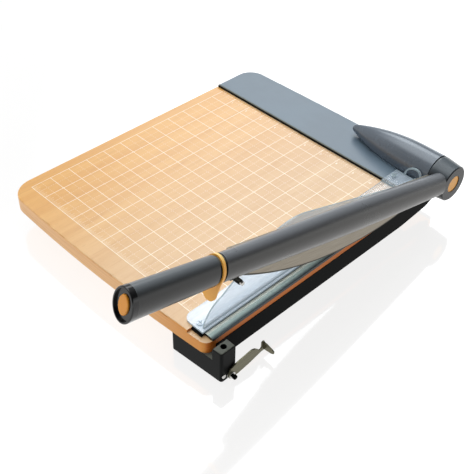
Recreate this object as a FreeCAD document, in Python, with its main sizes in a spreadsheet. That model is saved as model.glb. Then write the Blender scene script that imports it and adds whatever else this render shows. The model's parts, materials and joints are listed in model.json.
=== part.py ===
"""Guillotine paper cutter: wooden base board with a bed blade along its right edge, a rear
cover with a pivot housing, a cutting arm on a cross bolt, and a hook latch on the front foot.

Every piece is first modelled in one of three level working frames and then placed:
  datum  origin at the front left corner of the ruled field, on the board's top face
  arm    origin on the pivot axis (X = 0 as in the datum), arm lying level towards -Y
  latch  origin on the latch screw's axis (X = 0 as in the datum)
The placed model stands on Z = 0 with its origin under the middle of its bounding box.
"""
import FreeCAD, Part

import math
import os
import re

import Sketcher
from FreeCAD import Vector

DOC = FreeCAD.newDocument("PaperCutter")

DIMENSIONS = {
    # the model's origin seen from the datum corner: middle of the overall box, on the floor
    "frame_x": "=(board_left + tab_reach) / 2", "frame_y": 124.16, "floor_z": -43.0,
    # base board
    "board_left": -13.8, "board_right": 308.0, "board_back": 361.0, "board_thick": 17.0,
    "front_left_y": -22.8, "front_right_y": -17.5, "front_bow_r": 2130.0,
    "front_left_r": 28.0, "front_right_r": 9.0, "back_left_r": 30.0, "back_right_r": 6.0,
    "board_edge_r": 1.5,
    # recess in the board's top for the bed, and step along its lower right edge for the rail
    "bed_left": 283.0, "bed_depth": 3.0, "bed_back": 316.0, "step_x": 306.0, "step_z": -10.0,
    # bed plate and bed blade
    "plate_front": -13.0, "blade_bed_left": 297.0, "blade_bed_right": 308.5,
    "blade_bed_front": -8.5, "blade_bed_back": 315.0, "bed_edge_chamfer": 0.6,
    # side rail
    "rail_face": 308.3, "rail_bottom": -35.0, "rail_front": -4.0, "rail_back": 350.0,
    "rail_drop_front": "=block_back + 0.3", "rail_taper_front": 290.0, "rail_taper_mid": 335.0,
    "rail_taper_z": -30.5, "rail_end_z": -24.0, "flange_left": 285.0, "flange_front": 22.0,
    "flange_back": 318.0, "flange_thick": 2.2,
    # rear cover and paper stop
    "stop_front": 301.8, "cover_front": 304.0, "cover_left": -12.0, "cover_right": 307.6,
    "cover_back": 368.2, "cover_bow_x": 210.0, "cover_bow_r": 4400.0, "skirt_inset": 30.0,
    "cover_thick": 3.0, "cover_corner_r": 22.0, "cover_edge_r": 0.8, "stop_height": 3.2,
    "stop_right": 298.0, "skirt_front": 361.3,
    "window_left": 252.0, "window_right": 303.0, "window_front": 332.0, "window_back": 360.0,
    "lip_width": 1.6, "lip_height": 1.0,
    # pivot
    "pivot_y": 346.0, "pivot_z": 10.0, "rest_angle": 15.06, "bolt_r": 5.0,
    "bolt_head_x": 283.5, "bolt_end": 329.3, "bolt_head_r": 8.66,
    "bracket_left": 256.0, "bracket_x": 290.0, "bracket_thick": 6.0, "bracket_half": 12.0,
    "bracket_top": 24.0, "bracket_base": 2.2, "spacer_r": 6.8, "spacer_end": 308.65,
    # pivot housing: bullet nose running into a drum, on an axis of its own
    "housing_y": 347.5, "housing_z": 12.8, "housing_r": 21.0, "housing_mid": 279.0,
    "housing_nose": 97.0, "housing_end": 306.9, "housing_tip_r": 5.0, "housing_wall": 2.5,
    "housing_hole_r": 7.2,
    # hub
    "hub_in": 308.8, "hub_out": 332.0, "hub_r": 24.0, "hub_rim_r": 21.6, "hub_face_r": 20.4,
    "hub_band": 2.0, "hub_bevel": 1.0, "hub_bore": 7.5, "hub_recess_r": 10.5, "hub_floor": 316.0,
    "run_clear": 0.05, "cap_r": 10.45, "cap_in": 329.9, "cap_out": 331.2,
    "washer_thick": 0.8, "washer_r": 9.8, "spring_r": 7.6, "spring_wire": 0.8,
    "spring_pitch": 2.2, "nut_in": 324.1, "nut_out": 328.8,
    # upper blade
    "blade_in": 308.8, "blade_out": 311.3, "blade_top": 6.0, "blade_eye_r": 14.0,
    "blade_belly_s": 190.0, "blade_belly": 53.6, "blade_belly_r": 430.0, "blade_heel_s": 24.0,
    "blade_tip_s": 352.0, "blade_bevel": 1.2, "blade_screw_r": 2.0, "blade_screw_head_r": 3.6,
    "blade_screw_head": 1.5, "blade_screw_end": 325.0,
    # arm: oval tube round a flat steel core
    "arm_x": 323.0, "arm_wall": 2.2, "arm_start": 20.0, "arm_end": 374.0,
    "core_half_x": 4.0, "core_half_z": 9.0, "core_start": 14.0, "core_end": 470.0,
    "hub_gap": 1.2, "core_pin_s": 19.0, "core_pin_r": 1.5, "core_pin_in": 312.0, "core_pin_out": 326.9,
    # finger ring, grip and end cap
    "ring_start": 377.2, "ring_end": 380.2, "ring_half_x": 11.9, "ring_half_z": 15.7,
    "collar_half_x": 10.4, "collar_half_z": 13.8, "tongue_half": 8.0, "tongue_depth": 31.5,
    "tongue_start": 377.8, "tongue_end": 379.6,
    "grip_start": 383.0, "grip_end": 474.0, "grip_half_x": 11.2, "grip_half_z": 15.0,
    "end_half_x": 12.0, "end_half_z": 16.8, "cap_end": 480.0, "cap_round": 1.2,
    "cap_well_s": 477.8, "cap_well_x": 10.4, "cap_well_z": 15.2,
    "insert_half_x": 5.9, "insert_half_z": 9.8, "insert_end": 479.6, "insert_round": 1.2,
    # latch pin on the arm's lug
    "pin_s": 345.7, "pin_depth": 21.2, "pin_r": 2.0, "pin_in": 314.0, "pin_out": 331.0,
    "sleeve_r": 2.7, "sleeve_out": 328.1, "lug_x": 315.0, "lug_out": 320.0, "lug_half": 4.5,
    "lug_depth": 23.4,
    # front foot and its block
    "foot_left": 261.0, "foot_right": 327.5, "foot_back": 20.0, "foot_step": 305.0,
    "foot_front_left": -20.2,
    "foot_front_right": -15.3, "foot_under": -41.5, "block_left": 315.5, "block_back": 3.0,
    "block_top": -1.5, "block_round": 1.6, "foot_round": 3.0, "block_hole_r": 3.2,
    "block_hole_depth": 12.0, "block_hole_x": 321.0, "block_hole_y": -6.5,
    # latch
    "latch_y": -3.3, "latch_z": -37.5, "latch_in": 328.35, "latch_thick": 1.5,
    "latch_eye_r": 4.3, "latch_screw_r": 2.0, "notch_y": 38.3, "notch_z": 8.4, "notch_r": 2.45,
    "prong_top": 14.8, "latch_tip": 45.4, "latch_tip_top": 11.6, "tab_reach": 342.5,
    "latch_ring_r": 4.8, "latch_washer_r": 3.8, "knob_in": 332.4, "knob_r": 2.5,
    "knob_end": 335.4, "rivet_y": -8.9, "rivet_z": 2.9, "rivet_head_r": 2.3,
    "rivet_shank_r": 1.2, "rivet_proud": 0.75, "rivet_length": 6.0,
    # rear foot, bumpers and pads
    "rear_foot_left": 236.0, "rear_foot_right": 282.0, "rear_foot_front": 322.0,
    "rear_foot_back": 358.0, "bumper_x": 18.0, "bumper_front_y": 24.0, "bumper_back_y": 336.0,
    "bumper_top_r": 12.0, "bumper_low_r": 10.5, "pad_r": 8.0, "pad_sink": 1.0,
    "well_r": 4.3, "well_depth": 14.0,
    # clear guard
    "guard_lift": 0.8, "guard_thick": 2.0, "guard_right": 297.4, "guard_left_front": 269.0,
    "guard_left_back": 266.5, "guard_front": -11.5, "guard_corner_r": 9.5,
    "guard_flange_back": 299.8, "guard_wall_x": 293.5, "guard_wall": 1.8, "tab_back": 325.6,
    "tab_wide_front": 318.5, "tab_right": 305.2, "guard_screw_x": 287.0,
    # cable loop of the guard: an arch with a long left flank and a steep right leg
    "hoop_front": 323.3, "hoop_peak_x": 294.2, "hoop_top": 21.2, "hoop_flank_r": 15.5,
    "hoop_shoulder_r": 6.5, "hoop_lean": 14.4, "hoop_band": 1.7,
    # screws
    "wood_screw_r": 1.7, "wood_screw_head_r": 3.6, "wood_screw_head": 1.6, "slot_long": 4.4,
    "slot_wide": 0.9, "slot_deep": 0.9,
}

SHEET = DOC.addObject("Spreadsheet::Sheet", "Dims")
for row, (alias, value) in enumerate(DIMENSIONS.items(), start=1):
    SHEET.set("A%d" % row, alias)
    SHEET.set("B%d" % row, str(value))
    SHEET.setAlias("B%d" % row, alias)
DOC.recompute()

WORD = re.compile(r"[a-z][a-z_]*[a-z]")


# ---------------------------------------------------------------- binding to the sheet

def linked(expression):
    """Write the sheet's name before each alias in an expression."""
    return WORD.sub(lambda m: "Dims." + m.group(0) if m.group(0) in DIMENSIONS else m.group(0),
                    str(expression))


def value(expression):
    """Present value of an expression of aliases."""
    return float(SHEET.evalExpression(str(expression)))


def bind(item, prop, expression):
    item.setExpression(prop, linked(expression))


def place(item, x=0, y=0, z=0, turn_axis="vector(0; 0; 1)", turn=0):
    bind(item, "Placement",
         "placement(vector(%s; %s; %s); rotation(%s; %s))" % (x, y, z, turn_axis, turn))


# ---------------------------------------------------------------- sketches and bodies

def body(name):
    return DOC.addObject("PartDesign::Body", name)


def sketch(owner, role, offset=0):
    """Empty sketch on one of the body's own origin planes, moved along the plane's normal."""
    item = owner.newObject("Sketcher::SketchObject", owner.Name + "_sketch")
    plane = [f for f in owner.Origin.OriginFeatures if f.Role == role][0]
    item.AttachmentSupport = [(plane, "")]
    item.MapMode = "FlatFace"
    bind(item, "AttachmentOffset.Base.z", offset)
    return item


def pin_point(item, geometry, end, x, y):
    """Fix one point of a sketch at coordinates given as expressions."""
    for kind, expression, axis in (("DistanceX", x, -2), ("DistanceY", y, -1)):
        if abs(value(expression)) < 1e-9:
            item.addConstraint(Sketcher.Constraint("PointOnObject", geometry, end, axis))
            continue
        index = item.addConstraint(
            Sketcher.Constraint(kind, -1, 1, geometry, end, value(expression)))
        bind(item, "Constraints[%d]" % index, expression)


def arc_between(a, b, radius, left):
    """Arc from a to b; its centre lies on the left or the right of the way from a to b."""
    half = (b - a) * 0.5
    reach = math.sqrt(max(radius ** 2 - half.Length ** 2, 0.0))
    normal = Vector(-half.y, half.x, 0).normalize()
    centre = a + half + normal * (reach if left else -reach)
    circle = Part.Circle(centre, Vector(0, 0, 1), radius)
    first, last = (a, b) if left else (b, a)
    return Part.ArcOfCircle(circle, math.atan2(first.y - centre.y, first.x - centre.x),
                            math.atan2(last.y - centre.y, last.x - centre.x))


def outline(item, corners):
    """Closed outline. A corner is (x, y), or (x, y, radius, side) when an arc leaves it."""
    points = [Vector(value(c[0]), value(c[1]), 0) for c in corners]
    starts = []
    ends = []
    for index, corner in enumerate(corners):
        a = points[index]
        b = points[(index + 1) % len(points)]
        if len(corner) == 2:
            item.addGeometry(Part.LineSegment(a, b), False)
            starts.append(1)
            ends.append(2)
            continue
        left = corner[3] == "left"
        item.addGeometry(arc_between(a, b, value(corner[2]), left), False)
        starts.append(1 if left else 2)
        ends.append(2 if left else 1)
    count = len(corners)
    for index in range(count):
        after = (index + 1) % count
        item.addConstraint(Sketcher.Constraint(
            "Coincident", index, ends[index], after, starts[after]))
    for index, corner in enumerate(corners):
        pin_point(item, index, starts[index], corner[0], corner[1])
        if len(corner) == 4:
            radius = item.addConstraint(
                Sketcher.Constraint("Radius", index, value(corner[2])))
            bind(item, "Constraints[%d]" % radius, corner[2])


def circles(item, centres, radius):
    for x, y in centres:
        centre = Vector(value(x), value(y), 0)
        index = item.addGeometry(Part.Circle(centre, Vector(0, 0, 1), value(radius)), False)
        pin_point(item, index, 3, x, y)
        size = item.addConstraint(Sketcher.Constraint("Radius", index, value(radius)))
        bind(item, "Constraints[%d]" % size, radius)


def rectangle(item, x_low, y_low, x_high, y_high):
    outline(item, [(x_low, y_low), (x_high, y_low), (x_high, y_high), (x_low, y_high)])


def feature(owner, kind, profile, length, reverse=False):
    """Pad or pocket; the change in volume shows that it met the solid."""
    before = owner.Shape.Volume if owner.Tip else 0.0
    item = owner.newObject("PartDesign::" + kind, owner.Name + "_" + kind.lower())
    item.Profile = profile
    item.Reversed = reverse
    bind(item, "Length", length)
    profile.Visibility = False
    DOC.recompute()
    change = item.Shape.Volume - before
    if (kind == "Pad") != (change > 0) or abs(change) < 1e-3:
        raise RuntimeError("%s of %s changes nothing" % (kind, owner.Name))
    return item


def dressed(owner, kind, size_prop, size, wanted):
    """Fillet or chamfer on the edges of the present tip that the test picks."""
    base = owner.Tip
    names = ["Edge%d" % (i + 1) for i, edge in enumerate(base.Shape.Edges) if wanted(edge)]
    item = owner.newObject("PartDesign::" + kind, owner.Name + "_" + kind.lower())
    item.Base = (base, names)
    bind(item, size_prop, size)
    DOC.recompute()
    return item


def flat_at(edge, axis, level, tolerance=1e-4):
    """True when the whole edge lies at one level of an axis (0 = X, 1 = Y, 2 = Z)."""
    box = edge.BoundBox
    low = (box.XMin, box.YMin, box.ZMin)[axis]
    high = (box.XMax, box.YMax, box.ZMax)[axis]
    return abs(low - level) < tolerance and abs(high - level) < tolerance


def upright(edge):
    box = edge.BoundBox
    return box.XLength < 1e-4 and box.YLength < 1e-4


# ---------------------------------------------------------------- primitives and booleans

def box(name, x, y, z, x_size, y_size, z_size):
    item = DOC.addObject("Part::Box", name)
    bind(item, "Length", x_size)
    bind(item, "Width", y_size)
    bind(item, "Height", z_size)
    place(item, x, y, z)
    return item


def post(name, x, y, z, radius, height):
    """Cylinder standing along +Z."""
    item = DOC.addObject("Part::Cylinder", name)
    bind(item, "Radius", radius)
    bind(item, "Height", height)
    place(item, x, y, z)
    return item


def rod(name, x, x_end, radius, y=0, z=0):
    """Cylinder lying along +X."""
    item = DOC.addObject("Part::Cylinder", name)
    bind(item, "Radius", radius)
    bind(item, "Height", "(%s) - (%s)" % (x_end, x))
    place(item, x, y, z, "vector(0; 1; 0)", 90)
    return item


def hexagon(name, x, x_end, radius):
    """Six-sided bar along +X on the pivot axis, lying on one of its flats."""
    bar = DOC.addObject("Part::Prism", name + "_bar")
    bar.Polygon = 6
    bind(bar, "Circumradius", radius)
    bind(bar, "Height", "(%s) - (%s)" % (x_end, x))
    place(bar, x, 0, 0, "vector(0; 1; 0)", 90)
    turned_bar = group(name, [bar])
    place(turned_bar, 0, 0, 0, "vector(1; 0; 0)", 30)
    return turned_bar


def fuse(name, items):
    item = DOC.addObject("Part::MultiFuse", name)
    item.Shapes = items
    return item


def cut(name, base, tool):
    item = DOC.addObject("Part::Cut", name)
    item.Base = base
    item.Tool = tool
    return item


def common(name, a, b):
    item = DOC.addObject("Part::MultiCommon", name)
    item.Shapes = [a, b]
    return item


def group(name, items):
    """Separate solids kept together in one node."""
    item = DOC.addObject("Part::Compound", name)
    item.Links = items
    return item


def tube(name, x, x_end, outer, inner):
    return cut(name, rod(name + "_outer", x, x_end, outer),
               rod(name + "_hole", x, x_end, inner))


def oval(name, along, half_x, half_z):
    """Upright ellipse across the arm, at a distance along it from the pivot."""
    item = DOC.addObject("Part::Ellipse", name)
    bind(item, "MajorRadius", half_z)
    bind(item, "MinorRadius", half_x)
    place(item, "arm_x", "-(%s)" % along, 0, "vector(1; 1; 1)", -120)
    return item


def oval_bar(name, stations):
    """Solid through ovals at (distance along the arm, half width, half height)."""
    item = DOC.addObject("Part::Loft", name)
    item.Sections = [oval("%s_oval%d" % (name, i), *station)
                     for i, station in enumerate(stations)]
    item.Solid = True
    item.Ruled = len(stations) == 2
    return item


def rounded(name, base, radius, wanted):
    """Fillet of the picked edges of a primitive or boolean."""
    DOC.recompute()
    item = DOC.addObject("Part::Fillet", name)
    item.Base = base
    size = value(radius)
    item.Edges = [(i + 1, size, size) for i, edge in enumerate(base.Shape.Edges)
                  if wanted(edge)]
    return item


# ---------------------------------------------------------------- placing and keeping nodes

NODES = []


def keep(item, node, frame="datum"):
    """Name a finished piece and move it from its working frame to the model's frame."""
    item.Label = node
    if frame == "datum":
        place(item, "-frame_x", "-frame_y", "-floor_z")
    elif frame == "pivot":
        place(item, "-frame_x", "pivot_y - frame_y", "pivot_z - floor_z")
    elif frame == "housing":
        place(item, "-frame_x", "housing_y - frame_y", "housing_z - floor_z")
    elif frame == "arm":
        place(item, "-frame_x", "pivot_y - frame_y", "pivot_z - floor_z",
              "vector(1; 0; 0)", "-rest_angle")
    elif frame == "latch":
        place(item, "-frame_x", "latch_y - frame_y", "latch_z - floor_z")
    NODES.append(item)
    return item


def wood_screw(name, x, y, z, length, direction):
    """Pan head screw. Its head stands on (x, y, z) and its shank runs the other way."""
    turns = {"up": ("vector(1; 0; 0)", 0), "down": ("vector(1; 0; 0)", 180),
             "back": ("vector(1; 0; 0)", -90)}
    axis, turn = turns[direction]
    head = post(name + "_head", 0, 0, 0, "wood_screw_head_r", "wood_screw_head")
    shank = post(name + "_shank", 0, 0, "-(%s)" % length, "wood_screw_r", length)
    dome = rounded(name + "_dome", head, "wood_screw_head * 0.45",
                   lambda e: e.BoundBox.ZMin > 0.1 and e.BoundBox.ZLength < 1e-4)
    slot_z = "wood_screw_head - slot_deep"
    slots = [box(name + "_slot_x", "-slot_long / 2", "-slot_wide / 2", slot_z,
                 "slot_long", "slot_wide", "slot_deep + 1"),
             box(name + "_slot_y", "-slot_wide / 2", "-slot_long / 2", slot_z,
                 "slot_wide", "slot_long", "slot_deep + 1")]
    item = cut(name, fuse(name + "_solid", [dome, shank]), fuse(name + "_slots", slots))
    place(item, x, y, z, axis, turn)
    return item


def screws(name, spots, length, direction):
    return [wood_screw("%s_%d" % (name, i + 1), x, y, z, length, direction)
            for i, (x, y, z) in enumerate(spots)]


# ---------------------------------------------------------------- the board and its screws

FOOT_SCREW_X = (273, 298)
FOOT_SCREW_Y = 2
GUARD_SCREW_Y = (-5, 120, 250)


def make_fasteners():
    """Screws that are driven into the board, by the piece that they hold."""
    under = "0 - board_thick"
    flange_under = "0 - board_thick - flange_thick"
    well = "floor_z + well_depth"
    sets = {}
    sets["bed_screws"] = screws(
        "bed_screw", [(302, y, flange_under) for y in (32, 100, 168, 236, 300)],
        17.4, "down")
    sets["front_foot_screws"] = screws(
        "front_foot_screw", [(x, FOOT_SCREW_Y, well) for x in FOOT_SCREW_X], 22, "down")
    sets["rear_foot_screws"] = screws(
        "rear_foot_screw", [("rear_foot_left + 10", 340, well),
                            ("rear_foot_right - 10", 340, well)], 22, "down")
    sets["bumper_screws"] = screws(
        "bumper_screw", [("bumper_x", "bumper_front_y", well),
                         ("bumper_x", "bumper_back_y", well)], 22, "down")
    sets["cover_screws"] = screws(
        "cover_screw", [(x, cover_back_at(x) + " - 0.15", -9) for x in (40, 138, 236)],
        20, "back")
    sets["bracket_screws"] = screws(
        "bracket_screw", [(264, 338, "bracket_base"), (264, 354, "bracket_base"),
                          (279, 346, "bracket_base")], 15, "up")
    top = "guard_lift + guard_thick"
    sets["guard_screws"] = screws(
        "guard_screw", [("guard_screw_x", y, top) for y in GUARD_SCREW_Y], 11, "up")
    return sets


def make_base_board(sets):
    owner = body("board_blank")
    shape = sketch(owner, "XY_Plane")
    outline(shape, [
        ("board_left + front_left_r", "front_left_y", "front_bow_r", "left"),
        ("board_right - front_right_r", "front_right_y", "front_right_r", "left"),
        ("board_right", "front_right_y + front_right_r"),
        ("board_right", "board_back - back_right_r", "back_right_r", "left"),
        ("board_right - back_right_r", "board_back"),
        ("board_left + back_left_r", "board_back", "back_left_r", "left"),
        ("board_left", "board_back - back_left_r"),
        ("board_left", "front_left_y + front_left_r", "front_left_r", "left"),
    ])
    feature(owner, "Pad", shape, "board_thick", reverse=True)
    dressed(owner, "Fillet", "Radius", "board_edge_r", lambda e: flat_at(e, 2, 0))
    recess = sketch(owner, "XY_Plane")
    rectangle(recess, "bed_left", "front_left_y - 10", "board_right + 5", "bed_back")
    feature(owner, "Pocket", recess, "bed_depth")
    step = sketch(owner, "XY_Plane", "0 - board_thick")
    rectangle(step, "step_x", "rail_front", "board_right + 5", "rail_back")
    feature(owner, "Pocket", step, "board_thick + step_z", reverse=True)
    driven = fuse("board_screws", [screw for items in sets.values() for screw in items])
    keep(cut("board_cut", owner, driven), "base_board")


def make_bed(sets):
    plate = box("plate_bar", "bed_left", "plate_front", "0 - bed_depth",
                "blade_bed_left - bed_left", "stop_front - plate_front", "bed_depth")
    keep(cut("plate_cut", plate, fuse("plate_screws", sets["guard_screws"])), "bed_plate")

    owner = body("bed_blade_bar")
    shape = sketch(owner, "XY_Plane", "0 - bed_depth")
    rectangle(shape, "blade_bed_left", "blade_bed_front", "blade_bed_right", "blade_bed_back")
    feature(owner, "Pad", shape, "bed_depth")
    dressed(owner, "Chamfer", "Size", "bed_edge_chamfer",
            lambda e: flat_at(e, 2, 0) and flat_at(e, 0, value("blade_bed_left")))
    keep(cut("bed_blade_cut", owner, fuse("bed_blade_screws", sets["bed_screws"])),
         "lower_blade")

    owner = body("rail_bar")
    web = sketch(owner, "YZ_Plane", "step_x")
    outline(web, [
        ("rail_front", "step_z"), ("rail_front", "0 - board_thick"),
        ("rail_drop_front", "0 - board_thick"), ("rail_drop_front", "rail_bottom"),
        ("rail_taper_front", "rail_bottom"), ("rail_taper_mid", "rail_taper_z"),
        ("rail_back", "rail_end_z"), ("rail_back", "step_z"),
    ])
    feature(owner, "Pad", web, "rail_face - step_x")
    flange = sketch(owner, "XY_Plane", "0 - board_thick - flange_thick")
    rectangle(flange, "flange_left", "flange_front", "step_x", "flange_back")
    feature(owner, "Pad", flange, "flange_thick")
    keep(cut("rail_cut", owner, fuse("rail_screws", sets["bed_screws"])), "side_rail")


def cover_back_at(x):
    """Y of the cover's bowed back edge at an X."""
    return ("cover_back - cover_bow_r + sqrt(cover_bow_r * cover_bow_r"
            " - (%s - cover_bow_x) * (%s - cover_bow_x))" % (x, x))


def make_rear_cover(sets):
    owner = body("cover_blank")
    left_end = "(cover_left + cover_corner_r)"
    right_end = "(cover_right - 4)"
    shape = sketch(owner, "XY_Plane")
    outline(shape, [
        ("cover_left", "cover_front"),
        ("cover_right", "cover_front"),
        ("cover_right", cover_back_at(right_end) + " - 2"),
        (right_end, cover_back_at(right_end), "cover_bow_r", "left"),
        (left_end, cover_back_at(left_end), "cover_corner_r", "left"),
        ("cover_left", cover_back_at(left_end) + " - cover_corner_r"),
    ])
    feature(owner, "Pad", shape, "cover_thick")
    dressed(owner, "Fillet", "Radius", "cover_edge_r",
            lambda e: flat_at(e, 2, value("cover_thick"))
            and e.BoundBox.YMax > value("cover_front") + 1)
    skirt = sketch(owner, "XY_Plane")
    skirt_left = "(cover_left + skirt_inset)"
    skirt_right = "(cover_right - 6)"
    outline(skirt, [
        (skirt_left, "skirt_front"), (skirt_right, "skirt_front"),
        (skirt_right, cover_back_at(skirt_right), "cover_bow_r", "left"),
        (skirt_left, cover_back_at(skirt_left)),
    ])
    feature(owner, "Pad", skirt, "board_thick", reverse=True)
    window = sketch(owner, "XY_Plane")
    rectangle(window, "window_left", "window_front", "window_right", "window_back")
    feature(owner, "Pocket", window, "cover_thick", reverse=True)
    # raised lip on the cover round the foot of the pivot housing
    outside = housing_solid("lip_outside", "0 - lip_width", "housing_end - 1")
    inside = housing_solid("lip_inside", "0 - run_clear", "housing_end")
    for item in (outside, inside):
        place(item, 0, "housing_y", "housing_z")
    slab = box("lip_slab", 0, "stop_front", "cover_thick - 0.5", "cover_right",
               "cover_back - stop_front", "lip_height + 0.5")
    lip = cut("lip_ring", common("lip_band", outside, slab), inside)
    tools = fuse("cover_tools", sets["cover_screws"] + sets["tab_screws"])
    keep(cut("cover_cut", fuse("cover_and_lip", [owner, lip]), tools), "rear_cover")
    keep(group("stop_bar", [
        box("stop_strip", "cover_left", "stop_front", 0, "stop_right - cover_left",
            "cover_front - stop_front", "stop_height")]), "paper_stop")


# ---------------------------------------------------------------- the pivot

def turned(owner, corners):
    """Solid of revolution about X; the outline's corners are (x, radius)."""
    profile = sketch(owner, "XY_Plane")
    outline(profile, corners)
    item = owner.newObject("PartDesign::Revolution", owner.Name + "_turned")
    item.Profile = profile
    item.ReferenceAxis = (profile, ["H_Axis"])
    item.Angle = 360
    profile.Visibility = False
    DOC.recompute()
    return owner


def housing_solid(name, inset, x_end):
    """Drum with a bullet nose: a small tip arc runs tangent into a long flank arc."""
    nose = "(housing_nose - (%s))" % inset
    drum = "(housing_r - (%s))" % inset
    tip = "(housing_tip_r - (%s))" % inset
    flank = "((%s * %s + %s * %s - 2 * %s * %s) / (2 * (%s - %s)))" % (
        nose, nose, drum, drum, nose, tip, drum, tip)
    join_x = "housing_mid - %s * (%s - %s) / (%s - %s)" % (flank, nose, tip, flank, tip)
    join_r = "%s - %s + %s * (%s - %s) / (%s - %s)" % (
        drum, flank, flank, flank, drum, flank, tip)
    return turned(body(name), [
        (x_end, 0), (x_end, drum), ("housing_mid", drum, flank, "left"),
        (join_x, join_r, tip, "left"), ("housing_mid - %s" % nose, 0)])


def make_pivot(sets):
    outer = housing_solid("housing_outer", 0, "housing_end")
    inner = housing_solid("housing_inner", "housing_wall", "housing_end - housing_wall")
    below = box("housing_below", "housing_mid - housing_nose - 5", "0 - housing_r - 5",
                "cover_thick - housing_z - 60", "housing_nose + 60", "housing_r * 2 + 10", 60)
    hole = rod("housing_hole", "housing_end - housing_wall - 1", "housing_end + 1",
               "housing_hole_r", "pivot_y - housing_y", "pivot_z - housing_z")
    keep(cut("housing_cut", outer, fuse("housing_tools", [inner, below, hole])),
         "pivot_housing", "housing")

    leg = box("bracket_leg", "bracket_x", "pivot_y - bracket_half", 0, "bracket_thick",
              "bracket_half * 2", "bracket_top")
    sole = box("bracket_sole", "bracket_left", "pivot_y - bracket_half", 0,
               "bracket_x - bracket_left", "bracket_half * 2", "bracket_base")
    eye = rod("bracket_eye", "bracket_x - 1", "bracket_x + bracket_thick + 1", "bolt_r",
              "pivot_y", "pivot_z")
    drilled = fuse("bracket_tools", [eye] + sets["bracket_screws"])
    keep(cut("bracket_cut", fuse("bracket_shape", [leg, sole]), drilled), "pivot_bracket")

    keep(fuse("bolt_shape", [hexagon("bolt_head", "bolt_head_x", "bracket_x", "bolt_head_r"),
                             rod("bolt_shank", "bracket_x", "bolt_end", "bolt_r")]),
         "pivot_bolt", "pivot")
    keep(tube("spacer_tube", "bracket_x + bracket_thick", "spacer_end", "spacer_r", "bolt_r"),
         "spacer_sleeve", "pivot")
    outer_washer = "nut_in - washer_thick"
    keep(group("washer_pair", [
        tube("inner_washer", "hub_floor + run_clear", "hub_floor + run_clear + washer_thick",
             "washer_r", "bolt_r"),
        tube("outer_washer", outer_washer, "nut_in", "washer_r", "bolt_r")]),
        "pivot_washers", "pivot")
    keep(cut("nut_shape", hexagon("nut_hex", "nut_in", "nut_out", "bolt_head_r"),
             rod("nut_hole", "nut_in", "nut_out", "bolt_r")), "lock_nut", "pivot")

    start = "hub_floor + run_clear + washer_thick + spring_wire"
    helix = DOC.addObject("Part::Helix", "spring_helix")
    bind(helix, "Pitch", "spring_pitch")
    bind(helix, "Height", "(%s - spring_wire) - (%s)" % (outer_washer, start))
    bind(helix, "Radius", "spring_r")
    wire = DOC.addObject("Part::Circle", "spring_section")
    bind(wire, "Radius", "spring_wire")
    place(wire, "spring_r", 0, 0, "vector(1; 0; 0)", 90)
    sweep = DOC.addObject("Part::Sweep", "spring_sweep")
    sweep.Sections = [wire]
    sweep.Spine = (helix, ["Edge1"])
    sweep.Solid = True
    sweep.Frenet = True
    coil = group("spring_coil", [sweep])
    place(coil, start, 0, 0, "vector(0; 1; 0)", 90)
    keep(group("spring_shape", [coil]), "pressure_spring", "pivot")


def make_hub(blade, core):
    owner = turned(body("hub_blank"), [
        ("hub_in", "hub_bore"), ("hub_floor", "hub_bore"), ("hub_floor", "hub_recess_r"),
        ("hub_out", "hub_recess_r"), ("hub_out", "hub_face_r"),
        ("hub_out - hub_bevel", "hub_rim_r"), ("hub_in + hub_band", "hub_r"),
        ("hub_in", "hub_r"),
    ])
    pin = rod("core_pin_rod", "core_pin_in", "core_pin_out", "core_pin_r", "0 - core_pin_s")
    keep(cut("hub_cut", owner, fuse("hub_tools", [blade, core, pin])), "hub", "arm")
    keep(group("core_pin_node", [pin]), "core_pin", "arm")
    keep(tube("bush_tube", "blade_out + run_clear", "hub_floor", "hub_bore",
              "bolt_r + run_clear"), "hub_bush", "arm")
    disc = rod("cap_disc", "cap_in", "cap_out", "cap_r")
    keep(rounded("cap_round_disc", disc, "0.5",
                 lambda e: flat_at(e, 0, value("cap_out"))), "hub_cap", "arm")


# ---------------------------------------------------------------- the arm

def blade_blank():
    """Curved blade with an eye round the pivot bolt; its lower edge is one long arc."""
    owner = body("blade_blank")
    shape = sketch(owner, "YZ_Plane", "blade_in")

    def edge_depth(along):
        return ("blade_belly - blade_belly_r + sqrt(blade_belly_r * blade_belly_r"
                " - (%s - blade_belly_s) * (%s - blade_belly_s))" % (along, along))

    eye_top = "sqrt(blade_eye_r * blade_eye_r - blade_top * blade_top)"
    eye_low = "sqrt(blade_eye_r * blade_eye_r - 25)"
    outline(shape, [
        ("0 - %s" % eye_top, "blade_top"),
        ("0 - blade_tip_s", "blade_top"),
        ("0 - blade_tip_s", "0 - (%s)" % edge_depth("blade_tip_s"), "blade_belly_r", "left"),
        ("0 - blade_heel_s", "0 - (%s)" % edge_depth("blade_heel_s")),
        (-5, "0 - %s" % eye_low, "blade_eye_r", "left"),
        ("blade_eye_r", 0, "blade_eye_r", "left"),
    ])
    feature(owner, "Pad", shape, "blade_out - blade_in")
    hole = sketch(owner, "YZ_Plane", "blade_out")
    circles(hole, [(0, 0)], "bolt_r + run_clear")
    feature(owner, "Pocket", hole, "blade_out - blade_in")
    dressed(owner, "Chamfer", "Size", "blade_bevel",
            lambda e: flat_at(e, 0, value("blade_out")) and e.BoundBox.YLength > 200
            and e.BoundBox.ZLength > 5)
    return owner


def blade_screws():
    items = []
    for index, along in enumerate((62, 145, 228, 311), start=1):
        head = rod("blade_screw_head_%d" % index, "blade_in - blade_screw_head", "blade_in",
                   "blade_screw_head_r", -along)
        shank = rod("blade_screw_shank_%d" % index, "blade_in", "blade_screw_end",
                    "blade_screw_r", -along)
        items.append(fuse("blade_screw_%d" % index, [head, shank]))
    return items


ARM_STATIONS = [("arm_start", 11.8, 13.2), (110, 12.2, 15.6), (200, 12.5, 16.6),
                (290, 12.0, 15.6), ("arm_end", 11.0, 14.6)]


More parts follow.
